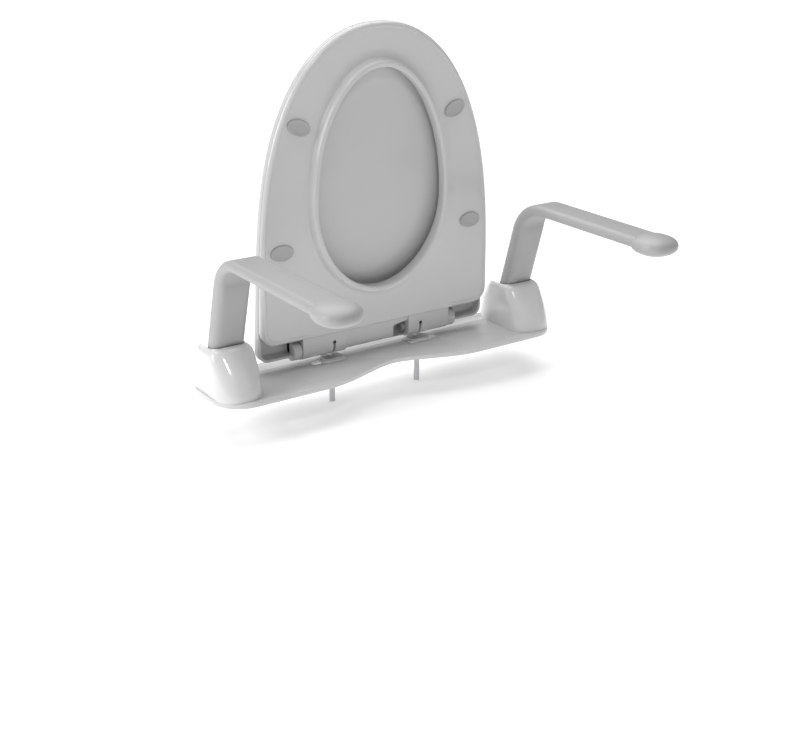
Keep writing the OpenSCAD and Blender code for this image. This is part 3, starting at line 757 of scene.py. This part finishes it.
# %% [markdown]
# ## Sleeves and knobs
# A soft-touch sleeve slides over a bent steel core, and a small screw from below holds it. The
# knob is a flattened egg pushed over the sleeve's end. Its skin is a shade lighter.

# %% Make the sleeves and knobs
SCREW_Y, SCREW_HOLE_R, SCREW_HOLE_DEEP = -246, 4, 10
KNOB_MIDDLE = (-284.4, 185.4)
KNOB_HALF = (27.6, 28.9, 12.8)
KNOB_POWER = 2.3
for name, side in SIDES.items():
    bm = bmesh.new()
    bridge(bm, arm_loops(side))
    place = (side * arm_x, SCREW_Y * MM, (ARM_TOP - BAR_T / 2) * MM)
    hole = bar(place, "Z", SCREW_HOLE_R, SCREW_HOLE_DEEP, 40)
    bm = carved(bm, [hole])
    piece_from(bm, f"arm_{name}_sleeve", f"arm_{name}", "sleeve", [f"arm_sleeve_{name}"])
    bm = bmesh.new()
    bmesh.ops.create_uvsphere(bm, u_segments=96, v_segments=48, radius=MM)
    bmesh.ops.rotate(bm, matrix=Matrix.Rotation(math.pi / 2, 3, "X"), verts=bm.verts)
    for v in bm.verts:
        v.co *= sum(abs(c / MM) ** KNOB_POWER for c in v.co) ** (-1 / KNOB_POWER)
    bmesh.ops.scale(bm, vec=KNOB_HALF, verts=bm.verts)
    middle = (side * arm_x, KNOB_MIDDLE[0] * MM, KNOB_MIDDLE[1] * MM)
    bmesh.ops.translate(bm, vec=middle, verts=bm.verts)
    piece_from(bm, f"arm_{name}_knob", f"arm_{name}", "knob", [f"end_knob_{name}"])
print("sleeves and knobs ready")

# %% [markdown]
# ## The domes
# Each dome is a thin cover: nearly upright at its sides, sloped in a long curve at the front and
# rounded at the back. Its rings are the plan outline, drawn in level by level by three profiles, one
# for the sides, one for the front and one for the back. A slot lets the arm stand up through the
# top and swing down behind.

# %% Plan and rise of a dome
DOME_HALF, DOME_FRONT, DOME_BACK = 32, -70, 40
DOME_MID_Y = -11
FRONT_R, BACK_R = 28, 24
DOME_AROUND, DOME_CORNER_STEPS = 160, 30
DOME_FOOT, DOME_TOP, DOME_WALL = round(plate_top / MM, 3), 68, 2.6
FRONT_RISE = [(DOME_FOOT, 59), (12, 58), (20, 56), (29, 52.2), (34, 49.7), (39, 46.6), (44, 43),
              (63.2, 28.6), (65.2, 26.6), (66.5, 24.8), (67.5, 22), (DOME_TOP, 19)]
SIDE_RISE = [(DOME_FOOT, 32), (20, 31.4), (34, 30.8), (50, 30.7), (56, 30.4), (60, 29.6), (63, 27.9),
             (65.2, 25.8), (66.8, 23.3), (67.6, 21.3), (DOME_TOP, 19)]
BACK_RISE = [(DOME_FOOT, 51), (20, 50.5), (29, 49.6), (34, 48.2), (39, 45.6), (44, 42.4), (63, 28.8),
             (65, 27), (66.4, 25), (67.5, 22.1), (DOME_TOP, 19)]
DOME_LEVELS = [DOME_FOOT, 6, 9, 13, 17, 21, 25, 28, 31, 34, 37, 40, 43, 47, 51, 55, 58, 60, 61.6, 63, 64.2,
               65.2, 66, 66.7, 67.2, 67.6, 67.9, DOME_TOP]


def dome_plan():
    corners = ((DOME_HALF - FRONT_R, DOME_FRONT + FRONT_R, FRONT_R, -90),
               (DOME_HALF - BACK_R, DOME_BACK - BACK_R, BACK_R, 0))
    right = []
    for x, y, r, start in corners:
        for i in range(DOME_CORNER_STEPS + 1):
            a = math.radians(start + 90 * i / DOME_CORNER_STEPS)
            right.append((x + r * math.cos(a), y + r * math.sin(a) - DOME_MID_Y))
    left = [(-x, y) for x, y in reversed(right)]
    return evenly(right + left, DOME_AROUND)


def dome_loops(side):
    loops = []
    for z in DOME_LEVELS:
        wide = along(SIDE_RISE, z) / SIDE_RISE[0][1]
        front = along(FRONT_RISE, z) / FRONT_RISE[0][1]
        back = along(BACK_RISE, z) / BACK_RISE[0][1]
        points = [(x * wide, y * (front if y < 0 else back)) for x, y in dome_plan()]
        loops.append([Vector((side * arm_x / MM + x, DOME_MID_Y + y, z)) * MM for x, y in points])
    return loops


print("dome plan points:", len(dome_plan()))

# %% [markdown]
# Two cutters make the slot: one is the arm's own section with a hair of room all round, the other
# is the wide way that it swings through to the back.

# %% Cut the slots and finish the domes
ARM_ROOM = 1.9
SHAFT_FROM, SHAFT_TO = 8, 90
WAY_FROM, WAY_TO, WAY_END, WAY_SILL = 8, 64, 90, 26


def slot_cutters(side):
    shape = section(UPRIGHT_T + 2 * ARM_ROOM, ARM_W + 2 * ARM_ROOM, UPRIGHT_R + ARM_ROOM)
    shaft = bmesh.new()
    bridge(shaft, [carried(side, shape, pivot + reach * up_dir, out_dir) for reach in (SHAFT_FROM, SHAFT_TO)])
    under = (UPRIGHT_T / 2 + ARM_ROOM) / out_dir[0]

    def folded(y):
        return pivot[1] - under + (y - pivot[0]) * out_dir[1] / out_dir[0]

    way = [(pivot[0] - rise * math.tan(ARM_LEAN), pivot[1] + rise) for rise in (WAY_FROM, WAY_TO)]
    way += [(WAY_END, WAY_END), (WAY_END, folded(WAY_END)), (WAY_SILL, folded(WAY_SILL))]
    gully = bmesh.new()
    half = ARM_W / 2 + ARM_ROOM
    bridge(gully, [[Vector((side * arm_x / MM + x, y, z)) * MM for y, z in way] for x in (-half, half)])
    return [shaft, gully]


for name, side in SIDES.items():
    bm = bmesh.new()
    bridge(bm, dome_loops(side))
    base = [f for f in bm.faces if all(abs(v.co.z - plate_top) < SAME_PLACE for v in f.verts)]
    bmesh.ops.delete(bm, geom=base, context="FACES_ONLY")
    bmesh.ops.recalc_face_normals(bm, faces=bm.faces)
    bmesh.ops.solidify(bm, geom=bm.faces[:], thickness=DOME_WALL * MM)
    bm = carved(bm, slot_cutters(side))
    piece_from(bm, f"dome_{name}_cover", "frame", "dome", [f"dome_{name}"])
print("domes ready")

# %% [markdown]
# ## Floor and light
# A pale floor, a soft sheet of light overhead and a faint glow all round. The ring's face looks
# away from the overhead light, so it falls into a soft grey while the plate stays bright. The
# floor glows more with distance, and the world looks white but lights the scene only faintly, so
# that the background stays plain.

# %% Floor
FLOOR_HALF = 30
floor_z = cad_box[0][2]
bm = bmesh.new()
bmesh.ops.create_grid(bm, x_segments=1, y_segments=1, size=FLOOR_HALF)
bmesh.ops.translate(bm, vec=(0, 0, floor_z), verts=bm.verts)
floor = loose(bm, "floor")
material, nodes, links, surface = shader("floor_white")
where = nodes.new("ShaderNodeTexCoord").outputs["Object"]
patches = tones(nodes, links, noise(nodes, links, where, 3.0), grey(0.90), grey(0.92))
links.new(patches, surface.inputs["Base Color"])
surface.inputs["Roughness"].default_value = 0.9
surface.inputs["Emission Color"].default_value = (1, 1, 1, 1)
far = nodes.new("ShaderNodeVectorMath")
far.operation = "LENGTH"
links.new(where, far.inputs[0])
glow = nodes.new("ShaderNodeMapRange")
for socket, value in (("From Min", 1.0), ("From Max", 3.5), ("To Min", 0.3), ("To Max", 0.85)):
    glow.inputs[socket].default_value = value
links.new(far.outputs["Value"], glow.inputs["Value"])
links.new(glow.outputs["Result"], surface.inputs["Emission Strength"])
floor.data.materials.append(material)
print("floor at z %.0f mm" % (floor_z / MM))

# %% Lights
AIM = (0, -0.05, 0.15)
WORLD_LIGHT, WORLD_SEEN = 0.2, 1.0


def soft_light(name, place, size, power):
    lamp = bpy.data.lights.new(name, "AREA")
    lamp.shape = "RECTANGLE"
    lamp.size, lamp.size_y = size
    lamp.energy = power
    lamp_object = bpy.data.objects.new(name, lamp)
    bpy.context.scene.collection.objects.link(lamp_object)
    lamp_object.location = place
    lamp_object.rotation_euler = (Vector(AIM) - Vector(place)).to_track_quat("-Z", "Y").to_euler()


soft_light("overhead_sheet", (0.2, 0.6, 2.4), (3.0, 3.0), 66)
soft_light("left_panel", (-2.4, 0.2, 1.3), (1.0, 1.4), 34)
soft_light("small_window", (-0.5, -1.5, 1.6), (0.09, 0.09), 4)
world = bpy.data.worlds.new("studio")
bpy.context.scene.world = world
world.use_nodes = True
background = world.node_tree.nodes["Background"]
background.inputs["Color"].default_value = (1, 1, 1, 1)
seen = world.node_tree.nodes.new("ShaderNodeMapRange")
seen.inputs["To Min"].default_value = WORLD_LIGHT
seen.inputs["To Max"].default_value = WORLD_SEEN
path = world.node_tree.nodes.new("ShaderNodeLightPath")
world.node_tree.links.new(path.outputs["Is Camera Ray"], seen.inputs["Value"])
world.node_tree.links.new(seen.outputs["Result"], background.inputs["Strength"])
print("lights ready")
